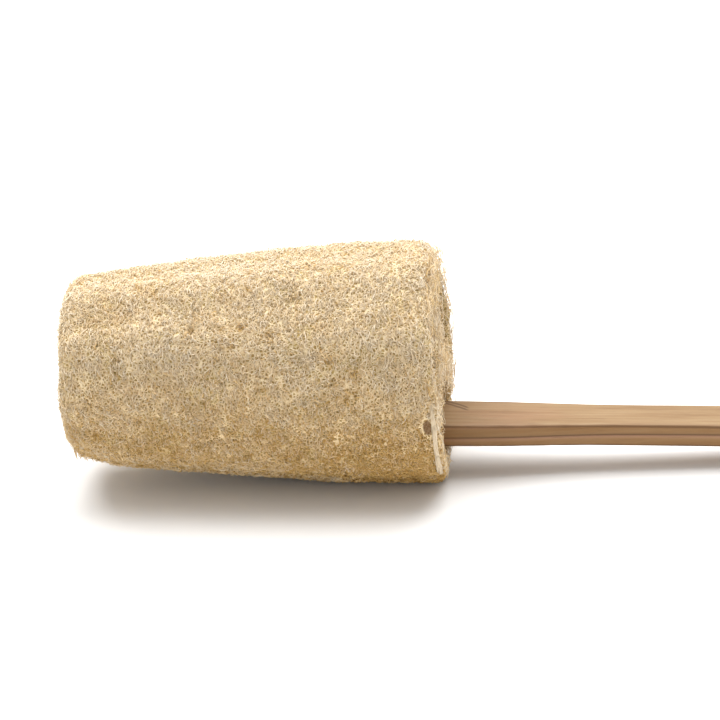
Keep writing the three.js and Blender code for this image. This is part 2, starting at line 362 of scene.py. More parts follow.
def merged_copy(node_name, piece_name):
    """A copy of a CAD node with its loose triangles joined."""
    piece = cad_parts[node_name].copy()
    piece.data = piece.data.copy()
    piece.name = piece_name
    piece.data.name = piece_name
    bpy.context.scene.collection.objects.link(piece)
    place = piece.matrix_world.copy()
    piece.parent = None
    piece.matrix_world = place
    pick(piece)
    bpy.ops.object.mode_set(mode="EDIT")
    bpy.ops.mesh.select_all(action="SELECT")
    bpy.ops.mesh.remove_doubles(threshold=MERGE_DISTANCE)
    bpy.ops.object.mode_set(mode="OBJECT")
    piece.data.materials.clear()
    return piece


def points_of(mesh):
    points = np.empty(len(mesh.vertices) * 3, np.float32)
    mesh.vertices.foreach_get("co", points)
    return points.reshape(-1, 3).astype(float)


def normals_of(mesh):
    normals = np.empty(len(mesh.vertices) * 3, np.float32)
    mesh.vertex_normals.foreach_get("vector", normals)
    return normals.reshape(-1, 3).astype(float)


def put_points(mesh, points):
    mesh.vertices.foreach_set("co", points.astype(np.float32).ravel())
    mesh.update()


def smooth_step(low, high, values):
    share = np.clip((values - low) / (high - low), 0, 1)
    return share * share * (3 - 2 * share)


def noise_at(points, size, kind):
    """Smooth noise from -1 to 1 at each point, with lumps of about that size."""
    scaled = points / size + NOISE_SHIFTS[kind]
    return np.array([noise.noise(Vector(point)) for point in scaled])


# ---- finishes


class Value:
    """A shader socket that Python's arithmetic works on."""

    def __init__(self, finish, socket):
        self.finish = finish
        self.socket = socket

    def maths(self, operation, first, second):
        return self.finish.node(
            "ShaderNodeMath", {"operation": operation}, {0: first, 1: second}
        )

    def __add__(self, other):
        return self.maths("ADD", self, other)

    def __radd__(self, other):
        return self.maths("ADD", other, self)

    def __sub__(self, other):
        return self.maths("SUBTRACT", self, other)

    def __rsub__(self, other):
        return self.maths("SUBTRACT", other, self)

    def __mul__(self, other):
        return self.maths("MULTIPLY", self, other)

    def __rmul__(self, other):
        return self.maths("MULTIPLY", other, self)

    def __truediv__(self, other):
        return self.maths("DIVIDE", self, other)

    def __rtruediv__(self, other):
        return self.maths("DIVIDE", other, self)

    def __abs__(self):
        return self.finish.node("ShaderNodeMath", {"operation": "ABSOLUTE"}, {0: self})


class Finish:
    """A material, and the nodes that make it."""

    def __init__(self, name, constants):
        self.material = bpy.data.materials.new(name)
        self.material.use_nodes = True
        self.tree = self.material.node_tree
        self.shader = self.tree.nodes["Principled BSDF"]
        for socket, value in constants.items():
            self.shader.inputs[socket].default_value = value

    def node(self, kind, settings, sockets, output=0):
        """Adds a node: its settings first, then each socket's value or link."""
        node = self.tree.nodes.new(kind)
        for name, value in settings.items():
            if name == "stops":
                self.set_stops(node.color_ramp, value)
            else:
                setattr(node, name, value)
        for key, value in sockets.items():
            if isinstance(value, Value):
                self.tree.links.new(value.socket, node.inputs[key])
            else:
                node.inputs[key].default_value = value
        return Value(self, node.outputs[output])

    @staticmethod
    def set_stops(ramp, stops):
        while len(ramp.elements) < len(stops):
            ramp.elements.new(1.0)
        for element, (position, colour) in zip(ramp.elements, stops):
            element.position = position
            element.color = (*colour, 1.0)

    def place(self):
        return self.node("ShaderNodeTexCoord", {}, {}, "Object")

    def facing(self):
        return self.node("ShaderNodeTexCoord", {}, {}, "Normal")

    def stretched(self, scale):
        sockets = {"Vector": self.place(), "Scale": scale}
        return self.node("ShaderNodeMapping", {}, sockets)

    def axis(self, vector, name):
        return self.node("ShaderNodeSeparateXYZ", {}, {0: vector}, name)

    def noise(self, vector, scale, detail=3.0, roughness=0.5):
        sockets = {
            "Vector": vector,
            "Scale": scale,
            "Detail": detail,
            "Roughness": roughness,
        }
        return self.node("ShaderNodeTexNoise", {}, sockets)

    def grain(self, scale, detail=3.0, roughness=0.5):
        """Noise drawn out by a scale for each axis."""
        return self.noise(self.stretched(scale), 1.0, detail, roughness)

    def ramp(self, value, stops):
        return self.node("ShaderNodeValToRGB", {"stops": stops}, {0: value})

    def between(self, value, low, high, to_low=0.0, to_high=1.0):
        settings = {"interpolation_type": "SMOOTHSTEP"}
        sockets = {
            "Value": value,
            "From Min": low,
            "From Max": high,
            "To Min": to_low,
            "To Max": to_high,
        }
        return self.node("ShaderNodeMapRange", settings, sockets)

    def mix(self, factor, first, second, blend="MIX"):
        settings = {"data_type": "RGBA", "blend_type": blend}
        sockets = {0: factor, 6: colour_of(first), 7: colour_of(second)}
        return self.node("ShaderNodeMix", settings, sockets, 2)

    def feed(self, socket, value):
        self.tree.links.new(value.socket, self.shader.inputs[socket])

    def bump(self, height, strength, distance):
        sockets = {"Height": height, "Strength": strength, "Distance": distance}
        self.feed("Normal", self.node("ShaderNodeBump", {}, sockets))


def colour_of(value):
    return value if isinstance(value, Value) else (*value, 1.0)


def felt_finish():
    """A net of pale strands over ochre ground, with painted shade in the ground between the strands,
    towards the floor and inside the tear.
    """
    finish = Finish("loofah_felt", {"Roughness": 0.85, "Specular IOR Level": 0.2})
    place = finish.place()
    fine = finish.noise(place, GRAIN_SCALE, detail=2.0)
    cloud = finish.noise(place, CLOUD_SCALE)
    net = finish.node(
        "ShaderNodeTexVoronoi",
        {"feature": "DISTANCE_TO_EDGE"},
        {"Vector": place, "Scale": NET_SCALE},
    )
    strands = finish.between(net, *NET_EDGE, 1.0, 0.0)
    # the ground between the strands: its own ochre, darkened as painted shade
    colour = finish.ramp(strands * NET_SHARE + fine * GRAIN_SHARE, FELT_COLOURS)
    olive = finish.mix(0.4, colour, FELT_OLIVE)
    colour = finish.mix(finish.between(cloud, *CLOUD_EDGE), colour, olive)
    # painted shade and inter-reflected ochre tint towards the floor
    ochre = finish.mix(1.0, colour, FELT_FLOOR_SHADE, "MULTIPLY")
    low_down = finish.between(finish.axis(place, "Z"), *FLOOR_SHADE_HEIGHTS, 1.0, 0.0)
    colour = finish.mix(low_down, colour, ochre)

    # painted shade in the hollow behind the tear
    spread = 0.0
    for name, middle, reach in zip("XYZ", tear_middle(), TEAR_SHADE_REACH):
        offset = (finish.axis(place, name) - middle) / reach
        spread = spread + offset * offset
    tear_shade = finish.between(spread, *TEAR_SHADE_EDGE, 0.9, 0.0)
    finish.feed("Base Color", finish.mix(tear_shade, colour, TEAR_SHADE_COLOUR))
    finish.bump(strands + fine * GRAIN_SHARE, 0.8, 0.5 * MM)
    return finish.material


def fibre_finish():
    """A fibre's tone lies along the map and its brightness, which holds painted shade, up it."""
    constants = {"Roughness": 0.62, "Specular IOR Level": 0.3}
    finish = Finish("loofah_fibre", constants)
    palette = finish.node("ShaderNodeUVMap", {"uv_map": "OFBake"}, {})
    tone = finish.axis(palette, "X")
    brightness = finish.axis(palette, "Y")
    colour = finish.ramp(tone, FIBRE_COLOURS)
    # painted shade: a dim copy of the fibre's colour
    dim = finish.mix(1.0, colour, FIBRE_DIM, "MULTIPLY")
    finish.feed("Base Color", finish.mix(brightness, dim, colour))
    return finish.material


def growth_rings(finish, colour, along, across, level, side):
    """Dark late wood that fades upwards, and the glow of the early wood below it."""
    sway = finish.grain(RING_SWAY_SCALE, 1.0) - 0.5
    climb = (along - MOUTH_X) * RING_CLIMB - RING_START
    ring = level + across * across * RING_BOW - climb + sway * RING_SWAY
    late = finish.node(
        "ShaderNodeMath",
        {"operation": "WRAP"},
        {0: ring, 1: RING_LIMITS[0], 2: RING_LIMITS[1]},
    )
    line = finish.between(abs(late), *LATE_LINE, 1.0, 0.0)
    fade = finish.between(late, *LATE_FADE, 0.5, 0.0) * finish.between(late, 0.0, LATE_FADE[0])
    fade_share = fade * (LATE_FADE_SHARE[0] + side * LATE_FADE_SHARE[1])
    colour = finish.mix(fade_share, colour, LATE_FADE_COLOUR)
    line_share = line * (LATE_LINE_SHARE[0] + side * LATE_LINE_SHARE[1])
    colour = finish.mix(line_share, colour, LATE_LINE_COLOUR)
    glow = finish.between(late, *EARLY_GLOW, 0.0, 0.55)
    under = finish.between(late, 0.0, EARLY_EDGE) * glow
    return finish.mix(under * side, colour, EARLY_COLOUR), line


def bowed_lines(finish, colour, along, across):
    """Two dark grain lines that bow across the stick where it leaves the loofah."""
    reach = along - (MOUTH_X - BOWED_START)
    for start, fall, bow in BOWED_LINES:
        line = abs(across - start + reach * fall + reach * reach * bow)
        mark = finish.between(line, BOWED_WIDTH, 2.2 * BOWED_WIDTH, 1.0, 0.0)
        mark = mark * finish.between(reach, BOWED_LENGTH, 1.2 * BOWED_LENGTH, 1.0, 0.0)
        colour = finish.mix(mark * 0.9, colour, BOWED_COLOUR)
    return colour


def wood_finish(stick_box):
    """Flat-sawn wood, so that its rings lie nearly flat in the stick."""
    finish = Finish("stick_wood", {"Specular IOR Level": 0.35})
    place = finish.place()
    along = finish.axis(place, "X")
    across = finish.axis(place, "Y")
    height = finish.axis(place, "Z")
    facing = finish.facing()
    side = finish.between(abs(finish.axis(facing, "Y")), *SIDE_FACING)
    # the rounded edges, which are painted darker as shade
    edge = side * finish.between(abs(finish.axis(facing, "Z")), *EDGE_FACING)
    middle = [(low + high) / 2 for low, high in zip(*stick_box)]
    level = height - (middle[2] - (along - middle[0]) * stick_slope())

    streaks = finish.grain(STREAK_SCALE, 4.0, 0.62)
    pores = finish.grain(PORE_SCALE, 2.0)
    patches = finish.grain(PATCH_SCALE, 2.0)
    colour = finish.ramp(streaks, WOOD_COLOURS)
    pink = finish.mix(0.5, colour, WOOD_PINK)
    colour = finish.mix(finish.between(patches, 0.47, 0.66), colour, pink)
    # painted shade on the sides
    colour = finish.mix(side * 0.5, colour, WOOD_SIDE_SHADE)
    colour, late_line = growth_rings(finish, colour, along, across, level, side)
    colour = bowed_lines(finish, colour, along, across)

    fine_pores = finish.between(pores, 0.60, 0.74)
    colour = finish.mix(fine_pores * 0.4, colour, WOOD_PORE)
    # painted shade along the rounded edges
    colour = finish.mix(edge * 0.8, colour, WOOD_EDGE_SHADE)
    first, last = (MOUTH_X + reach for reach in NEAR_SPONGE)
    near_sponge = finish.between(along, first, last, 1.0, 0.0)
    colour = finish.mix(near_sponge * 0.25, colour, WOOD_NEAR_SPONGE)
    finish.feed("Base Color", colour)
    finish.feed("Roughness", finish.between(streaks, 0.3, 0.8, 0.58, 0.44))
    finish.bump(streaks + pores * 0.6 - late_line * 0.25, 0.35, 0.3 * MM)
    return finish.material


def peg_finish():
    finish = Finish("peg_wood", {"Roughness": 0.55, "Specular IOR Level": 0.35})
    streaks = finish.grain(PEG_SCALE)
    finish.feed("Base Color", finish.ramp(streaks, PEG_COLOURS))
    finish.bump(streaks, 0.3, 0.3 * MM)
    return finish.material


# ---- places


def stick_slope():
    """How much the stick falls for each metre along it, from its own top face."""
    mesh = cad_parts["handle_stick"].data
    top = max(mesh.polygons, key=lambda face: face.area * (face.normal.z > 0.9))
    return top.normal.x / top.normal.z


def slice_height(points):
    """The middle height of some of the loofah's points."""
    return (points[:, 2].max() + points[:, 2].min()) / 2


def sponge_axis():
    """The loofah's two ends, its axis' height at each, and its radius at the mouth."""
    points = points_of(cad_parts["loofah_sponge"].data)
    low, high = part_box("loofah_sponge")
    far_height = slice_height(points[points[:, 0] < low[0] + FAR_SLICE])
    mouth_height = slice_height(points[points[:, 0] > high[0] - MOUTH_SLICE])
    return low[0], high[0], far_height, mouth_height, (high[1] - low[1]) / 2


FAR_X, MOUTH_X, FAR_HEIGHT, MOUTH_HEIGHT, MOUTH_RADIUS = sponge_axis()


def axis_height(x):
    return FAR_HEIGHT + (MOUTH_HEIGHT - FAR_HEIGHT) * (x - FAR_X) / (MOUTH_X - FAR_X)


def radial(points):
    """Each point's distance from the loofah's axis, and its direction out."""
    out = np.stack([
        np.zeros(len(points)), points[:, 1], points[:, 2] - axis_height(points[:, 0])
    ], axis=1)
    distance = np.linalg.norm(out, axis=1)
    return distance, out / np.maximum(distance, 1e-6)[:, None]


def radius_table():
    """The loofah's outer radius at even steps along it."""
    points = points_of(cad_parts["loofah_sponge"].data)
    distance, _ = radial(points)
    steps = np.linspace(FAR_X, MOUTH_X, RADIUS_STEPS)
    reach = (MOUTH_X - FAR_X) / RADIUS_SPANS
    radii = np.array([
        distance[np.abs(points[:, 0] - step) < reach].max() for step in steps
    ])
    return steps, radii


RADIUS_AT, RADII = radius_table()


def outer_radius(x):
    return np.interp(x, RADIUS_AT, RADII)


def regions(points, normals):
    """Shares from 0 to 1: on the outside, on an end, in a chamber."""
    distance, out = radial(points)
    facing = (normals * out).sum(axis=1)
    end = smooth_step(*END_FACING, np.abs(normals[:, 0]))
    outside = smooth_step(*OUTSIDE_FACING, facing) * (distance > OUTSIDE_RADIUS * MOUTH_RADIUS)
    corner = (points[:, 0] < FAR_X + CORNER_LENGTH) & (facing > CORNER_FACING)
    outside = np.where(corner & (distance > CORNER_RADIUS), 1.0, outside)
    outside = outside * (1 - end * (distance < outer_radius(points[:, 0]) - END_RIM))
    chamber = np.clip(1 - outside - end, 0, 1)
    return outside, end * (1 - outside), chamber


def stick_distance(points):
    """How far each point is from the stick's box, in its own slope."""
    low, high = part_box("handle_stick")
    middle_x = (low[0] + high[0]) / 2
    middle_z = (low[2] + high[2]) / 2
    slope = stick_slope()
    level = points[:, 2] - (middle_z - (points[:, 0] - middle_x) * slope)
    half_thickness = (high[2] - low[2] - slope * (high[0] - low[0])) / 2
    gap_x = np.maximum(low[0] - points[:, 0], 0)
    gap_y = np.maximum(np.abs(points[:, 1]) - STICK_HALF_WIDTH, 0)
    gap_z = np.maximum(np.abs(level) - half_thickness, 0)
    return np.sqrt(gap_x ** 2 + gap_y ** 2 + gap_z ** 2)


def around_axis(points):
    """The angle of each point round the loofah, from level on the front."""
    return np.arctan2(points[:, 2] - axis_height(points[:, 0]), -points[:, 1])


def tear_middle():
    """A place under the tear, as deep as the middle of its painted shade."""
    x = MOUTH_X - TEAR_SETBACK
    distance = MOUTH_RADIUS - TEAR_SHADE_DEPTH
    y = -math.cos(TEAR_ANGLE) * distance
    return x, y, axis_height(x) + math.sin(TEAR_ANGLE) * distance


def tear_share(points, spare):
    """1 in the tear, falling to 0 at that much beyond it."""
    distance, _ = radial(points)
    along = (points[:, 0] - (MOUTH_X - TEAR_SETBACK)) / (TEAR_HALF[0] + spare)
    turn = around_axis(points) - TEAR_ANGLE
    across = turn * distance / (TEAR_HALF[1] + spare)
    deep = distance > MOUTH_RADIUS - TEAR_DEPTH
    on_front = points[:, 1] < 0
    return (1 - smooth_step(*TEAR_EDGE, np.hypot(along, across))) * deep * on_front


def strap_share(points):
    """1 where the smooth strap lies, along the rim."""
    along = np.abs(points[:, 0] - (MOUTH_X - STRAP_SETBACK)) < STRAP_HALF_WIDTH
    angle = around_axis(points)
    across = (angle < STRAP_ANGLES[0]) & (angle > STRAP_ANGLES[1])
    return (along & across & (points[:, 1] < 0)).astype(float)


# ---- the loofah's felt


def felt_body():
    felt = merged_copy("loofah_sponge", "loofah_felt")
    remesh = {"mode": "VOXEL", "voxel_size": FELT_VOXEL, "use_smooth_shade": True}
    apply_modifier(felt, "REMESH", remesh)
    apply_modifier(felt, "SMOOTH", {"factor": 0.5, "iterations": FELT_SMOOTHING})
    return felt


def cut_shift(points):
    """How far the mouth's cut reaches out at each point."""
    distance, _ = radial(points)
    degrees, shifts = zip(*CUT_SHIFTS)
    shift = np.interp(np.degrees(around_axis(points)), degrees, shifts) * MM
    rim = smooth_step(CUT_RIM[0] * MOUTH_RADIUS, CUT_RIM[1] * MOUTH_RADIUS, distance)
    rim = rim * smooth_step(*CUT_STICK_GAP, stick_distance(points))
    return shift * rim * smooth_step(MOUTH_X - CUT_BAND, MOUTH_X, points[:, 0])


def widen_tear(points):
    """Moves the felt away from the middle of the tear."""
    distance, out = radial(points)
    along = (points[:, 0] - (MOUTH_X - TEAR_SETBACK)) / TEAR_HALF[0]
    across = (around_axis(points) - TEAR_ANGLE) * distance / TEAR_HALF[1]
    size = np.maximum(np.hypot(along, across), TEAR_CORE)
    share = tear_share(points, TEAR_PULL)
    tangent = np.cross(np.tile([1.0, 0, 0], (len(points), 1)), out)
    points[:, 0] += share * TEAR_OPENING[0] * along / size
    return points - tangent * (share * TEAR_OPENING[1] * across / size)[:, None]


def shape_mouth(skin, points, free):
    """An uneven slanting cut, drawn in round the stick."""
    at_mouth = smooth_step(MOUTH_X - MOUTH_BAND, MOUTH_X, skin[:, 0])
    uneven = noise_at(points * MOUTH_GRAIN, MOUTH_WAVE, "mouth") * MOUTH_UNEVEN
    skin[:, 0] += uneven * at_mouth * free + cut_shift(skin)
    inside = radial(skin)[0] < RECESS_RADIUS * MOUTH_RADIUS
    recess = STICK_RECESS * inside * smooth_step(*RECESS_GAP, stick_distance(skin))
    skin[:, 0] -= recess * at_mouth
    return skin


def shape_far_end(skin):
    """A little longer than drawn, with its lower front corner tucked in."""
    at_far = smooth_step(FAR_X + FAR_BAND, FAR_X, skin[:, 0])
    low_front = smooth_step(*FAR_LOW_SIDE, np.sin(around_axis(skin))) * (skin[:, 1] < 0)
    skin = skin - radial(skin)[1] * (FAR_TUCK * at_far * at_far * low_front)[:, None]
    skin[:, 0] -= FAR_STRETCH * at_far
    return skin


def pit_places(rng, points, outside):
    """Small hollows in the outside, at random."""
    candidates = np.flatnonzero(outside > PIT_GROUND)
    chosen = rng.choice(candidates, PIT_COUNT, replace=False)
    radii = rng.uniform(*PIT_RADIUS, PIT_COUNT) * rng.uniform(*PIT_SHRINK, PIT_COUNT)
    return points[chosen], radii


def pit_share(points, places, radii):
    """How deep in a pit each point is, from 0 to 1."""
    share = np.zeros(len(points))
    order = np.argsort(points[:, 0])
    sorted_x = points[order, 0]
    for place, radius in zip(places, radii):
        first, last = np.searchsorted(sorted_x, [place[0] - 2 * radius, place[0] + 2 * radius])
        near = order[first:last]
        gap = np.linalg.norm(points[near] - place, axis=1)
        depth = 1 - smooth_step(radius * PIT_SLOPE[0], radius * PIT_SLOPE[1], gap)
        share[near] = np.maximum(share[near], depth)
    return share


def shape_felt(felt, rng):
    """Shapes the felt body, and returns the skin that its fibres are laid on.

    The skin has the lumps, the ridges, the cut and the tear. The body lies under it
    outside and above it in the chambers. What is returned is the skin as a tree to
    look places up in, its points, and the pits.
    """
    points = points_of(felt.data)
    normals = normals_of(felt.data)
    outside, end, chamber = regions(points, normals)
    lumps = noise_at(points, LUMP_SIZE, "lumps") * LUMP_HEIGHT
    knots = noise_at(points, KNOT_SIZE, "knots") * KNOT_HEIGHT
    relief = lumps + knots
    angle = around_axis(points)
    folds = np.stack([
        points[:, 0] / RIDGE_LENGTH * RIDGE_WIDTH,
        np.cos(angle) * MOUTH_RADIUS,
        np.sin(angle) * MOUTH_RADIUS,
    ], axis=1)
    ridges = noise_at(folds, RIDGE_WIDTH, "ridges") * RIDGE_HEIGHT
    free = smooth_step(*STICK_CLEARANCE, stick_distance(points))
    rise = (outside * (relief + ridges) + END_RELIEF * end * relief) * free
    skin = points + normals * rise[:, None]
    skin = shape_mouth(skin, points, free)
    skin = widen_tear(skin)
    skin = shape_far_end(skin)

    places, radii = pit_places(rng, skin, outside)
    pits = pit_share(skin, places, radii)
    move = outside * -FELT_SINK + end * -END_SINK
    move = move + chamber * (CHAMBER_FILL + relief * CHAMBER_RELIEF) * free
    move = move - pits * PIT_DEPTH * outside
    move = move * (1 - tear_share(skin, TEAR_LIP))
    surface = BVHTree.FromPolygons(
        [tuple(point) for point in skin],
        [tuple(face.vertices) for face in felt.data.polygons],
    )
    put_points(felt.data, skin + normals * move[:, None])
    return surface, skin, (places, radii)


# ---- the loofah's fibres


def face_samples(mesh, points):
    """Each face's middle, its area and its normal, from the skin's points."""
    mesh.calc_loop_triangles()
    corners = np.empty(len(mesh.loop_triangles) * 3, np.int32)
    mesh.loop_triangles.foreach_get("vertices", corners)
    corners = corners.reshape(-1, 3)
    a, b, c = (points[corners[:, k]] for k in range(3))
    cross = np.cross(b - a, c - a)
    area = np.linalg.norm(cross, axis=1)
    return (a + b + c) / 3, area / 2, cross / np.maximum(area, 1e-12)[:, None]


def unit(vectors):
    length = np.linalg.norm(vectors, axis=1)
    return vectors / np.maximum(length, 1e-9)[:, None]


def turned(directions, normals, angles):
    sideways = np.cross(normals, directions)
    return directions * np.cos(angles)[:, None] + sideways * np.sin(angles)[:, None]


def flat_on(directions, normals):
    return unit(directions - normals * (directions * normals).sum(axis=1)[:, None])


def snapped(surface, points):
    """The nearest places on the felt's skin and its normals there."""
    places = np.empty_like(points)
    normals = np.empty_like(points)
    for index, point in enumerate(points):
        place, normal, _, _ = surface.find_nearest(Vector(point))
        places[index] = place
        normals[index] = normal
    return places, normals


def grow(surface, starts, normals, headings, lengths, rng, wander):
    """Walks each fibre over the skin both ways, and returns its points and normals."""
    count = len(starts)
    half = FIBRE_RINGS // 2
    points = np.empty((count, FIBRE_RINGS, 3))
    ups = np.empty((count, FIBRE_RINGS, 3))
    points[:, half] = starts
    ups[:, half] = normals
    bend = rng.normal(0, wander, count)
    for way in (1, -1):
        place, up = starts, normals
        heading = flat_on(headings * way, up)
        for step in range(1, half + 1):
            change = rng.normal(0, WANDER_CHANGE * wander, count)
            heading = turned(heading, up, bend * way + change)
            move = heading * (lengths / (FIBRE_RINGS - 1))[:, None]
            place, up = snapped(surface, place + move)
            heading = flat_on(heading, up)
            points[:, half + way * step] = place
            ups[:, half + way * step] = up
    return points, ups


def tube_points(points, ups, radii):
    """The corners of each fibre's rings."""
    tangents = np.gradient(points, axis=1)
    tangents /= np.maximum(np.linalg.norm(tangents, axis=2), 1e-9)[..., None]
    side = np.cross(tangents, ups)
    side /= np.maximum(np.linalg.norm(side, axis=2), 1e-9)[..., None]
    up = np.cross(side, tangents)
    thick = radii[:, None, None] * np.array(FIBRE_TAPER)[None, :, None]
    corners = []
    for k in range(FIBRE_SIDES):
        angle = math.pi / 2 + 2 * math.pi * k / FIBRE_SIDES
        corners.append(points + (side * math.cos(angle) + up * math.sin(angle)) * thick)
    return np.stack(corners, axis=2)


def fibre_faces(count):
    """The corners of every fibre's faces, in one row, and each face's size."""
    per_fibre = FIBRE_RINGS * FIBRE_SIDES
    walls = []
    for ring in range(FIBRE_RINGS - 1):
        for k in range(FIBRE_SIDES):
            after = (k + 1) % FIBRE_SIDES
            low = ring * FIBRE_SIDES
            high = low + FIBRE_SIDES
            walls.append((low + k, low + after, high + after, high + k))
    walls = np.array(walls)
    caps = np.array([
        [2, 1, 0],
        [per_fibre - 3, per_fibre - 2, per_fibre - 1],
    ])
    first = (np.arange(count) * per_fibre)[:, None]
    loops = np.concatenate([
        walls.ravel()[None, :] + first, caps.ravel()[None, :] + first
    ], axis=1).ravel()
    sizes = np.tile(np.r_[np.full(len(walls), 4), np.full(len(caps), 3)], count)
    return loops, sizes


def fibre_piece(name, corners, tones, lights, finish):
    """One mesh of many closed fibres, with their tones on its map."""
    loops, sizes = fibre_faces(len(corners))
    starts = np.r_[0, np.cumsum(sizes)[:-1]]
    mesh = bpy.data.meshes.new(name)
    mesh.vertices.add(len(corners) * FIBRE_RINGS * FIBRE_SIDES)
    mesh.vertices.foreach_set("co", corners.astype(np.float32).ravel())
    mesh.loops.add(len(loops))
    mesh.loops.foreach_set("vertex_index", loops.astype(np.int32))
    mesh.polygons.add(len(sizes))
    mesh.polygons.foreach_set("loop_start", starts.astype(np.int32))
    mesh.polygons.foreach_set("use_smooth", np.ones(len(sizes), bool))
    mesh.update(calc_edges=True)

    ring_of = np.repeat(np.arange(FIBRE_RINGS), FIBRE_SIDES)
    corner_of = np.tile(np.arange(FIBRE_SIDES), FIBRE_RINGS)
    tone = tones[:, None] + CORNER_TONE * corner_of[None, :]
    light = lights[:, None] + RING_LIGHT * ring_of[None, :] / (FIBRE_RINGS - 1)
    palette = np.stack([tone.ravel(), light.ravel()], axis=1)
    layer = mesh.uv_layers.new(name="OFBake")
    layer.data.foreach_set("uv", palette[loops].astype(np.float32).ravel())

    mesh.materials.append(finish)
    piece = bpy.data.objects.new(name, mesh)
    bpy.context.scene.collection.objects.link(piece)
    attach(piece, "root")
    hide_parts("loofah_sponge")


def fibre_tones(starts, level, pit, where, rng):
    """A place on the palette for each fibre: its tone and its brightness, both with painted shade."""
    count = len(starts)
    cloud = noise_at(starts, TONE_CLOUD_SIZE, "tone")
    wide_cloud = noise_at(starts, TONE_WIDE_CLOUD_SIZE, "wide_tone")
    tones = TONE_MIDDLE + rng.normal(0, TONE_SPREAD, count)
    tones = tones + TONE_CLOUD * cloud + TONE_WIDE_CLOUD * wide_cloud
    # painted shade and inter-reflected tint on deeper fibres, and on those in pits
    tones = tones + TONE_DEEP_SHADE * (1 - level) + TONE_PIT * pit
    # painted shade: deeper fibres are dimmer; the random spread is their own
    lights = LIGHT_LOW + LIGHT_RISE * level + rng.normal(0, LIGHT_SPREAD, count)
    # painted shade on fibres in pits
    lights = lights + LIGHT_PIT_SHADE * pit
    if where == "outside":
        first, last = (MOUTH_X - reach for reach in NEAR_MOUTH)
        near_mouth = smooth_step(first, last, starts[:, 0])
        height = starts[:, 2] / (2 * MOUTH_RADIUS)
        low_side = smooth_step(*NEAR_MOUTH_HEIGHTS, height)
        tones = tones + TONE_NEAR_MOUTH * near_mouth * low_side
        # painted shade and inter-reflected tint towards the floor
        tones = tones + TONE_FLOOR_SHADE * smooth_step(*FIBRE_FLOOR_SHADE_HEIGHTS, height) + TONE_OUTSIDE
    if where == "chamber":
        # fibres in the chambers: dimmer as painted shade, more ochre partly as their own colour
        tones = tones + TONE_CHAMBER
        lights = lights + LIGHT_CHAMBER_SHADE
    if where == "strap":
        tones = rng.uniform(*TONE_STRAP, count)
        lights = rng.uniform(*LIGHT_STRAP, count)
    return np.clip(tones, *TONE_LIMITS), np.clip(lights, *LIGHT_LIMITS)


def per_fibre(values):
    """Turns one value for each ring into a row for each fibre."""
    return values.reshape(-1, FIBRE_RINGS)


def laid_fibres(surface, starts, normals, headings, lengths, wander, where, pits, rng):
    """Fibres that follow the skin, dipping into it at their ends."""
    count = len(starts)
    points, ups = grow(surface, starts, normals, headings, lengths, rng, wander)
    level = rng.uniform(0, 1, count)
    lift, span, dive = LAY[where]
    along = np.linspace(-1, 1, FIBRE_RINGS)
    phase = rng.uniform(0, 2 * math.pi, count)
    wave = np.sin(along[None, :] * WEAVE_TURN + phase[:, None]) * WEAVE
    flat = points.reshape(-1, 3)
    pit = per_fibre(pit_share(flat, *pits))
    depth = lift + span * level[:, None] + wave
    depth = depth - dive * np.abs(along[None, :]) ** DIVE_POWER - pit * PIT_DEPTH
    if where == "outside":
        depth = depth - STRAP_BED * per_fibre(strap_share(flat))
    points = points + ups * depth[..., None]

    laid = points.reshape(-1, 3)
    steady = (ups[:, 1:] * ups[:, :-1]).sum(axis=2).min(axis=1) > STEADY
    whole = per_fibre(tear_share(laid, 0.0)).max(axis=1) < TEAR_LIMIT
    clear = per_fibre(stick_distance(laid)).min(axis=1) > FIBRE_GAP
    kept = steady & whole & clear
    tones, lights = fibre_tones(starts, level, pit.max(axis=1), where, rng)
    return points[kept], ups[kept], tones[kept], lights[kept]


def skin_fibres(surface, felt, skin, pits, rng):
    """Fibres laid on the outside, on the ends and into the chambers."""
    middles, areas, face_normals = face_samples(felt.data, skin)
    outside, end, chamber = regions(middles, face_normals)
    clear = stick_distance(middles) > START_GAP
    from_end = np.minimum(middles[:, 0] - FAR_X, MOUTH_X - middles[:, 0])
    reach = np.exp(-from_end / CHAMBER_THINNING)
    plans = [
        (outside * clear, OUTER_FIBRES, "outside"),
        (end * clear, END_FIBRES, "end"),
        (chamber * clear * reach, CHAMBER_FIBRES, "chamber"),
    ]
    for weight, count, where in plans:
        weight = weight * areas
        chosen = rng.choice(len(middles), count, p=weight / weight.sum())
        starts = middles[chosen] + rng.normal(0, START_SPREAD, (count, 3))
        starts, normals = snapped(surface, starts)
        around = unit(np.cross(np.tile([1.0, 0, 0], (count, 1)), normals))
        spread = np.full(count, HEADING_SPREAD)
        if where == "outside":
            calm = noise_at(starts, CALM_SIZE, "calm")
            spread = CALM_SPREAD[0] + CALM_SPREAD[1] * smooth_step(*CALM_RANGE, calm)
        headings = flat_on(around, normals)
        headings = turned(headings, normals, rng.normal(0, 1, count) * spread)
        lengths = rng.uniform(0, 1, count) ** LENGTH_SKEW
        lengths = FIBRE_LENGTH[0] + lengths * (FIBRE_LENGTH[1] - FIBRE_LENGTH[0])
        yield laid_fibres(
            surface, starts, normals, headings, lengths, WANDER, where, pits, rng
        )


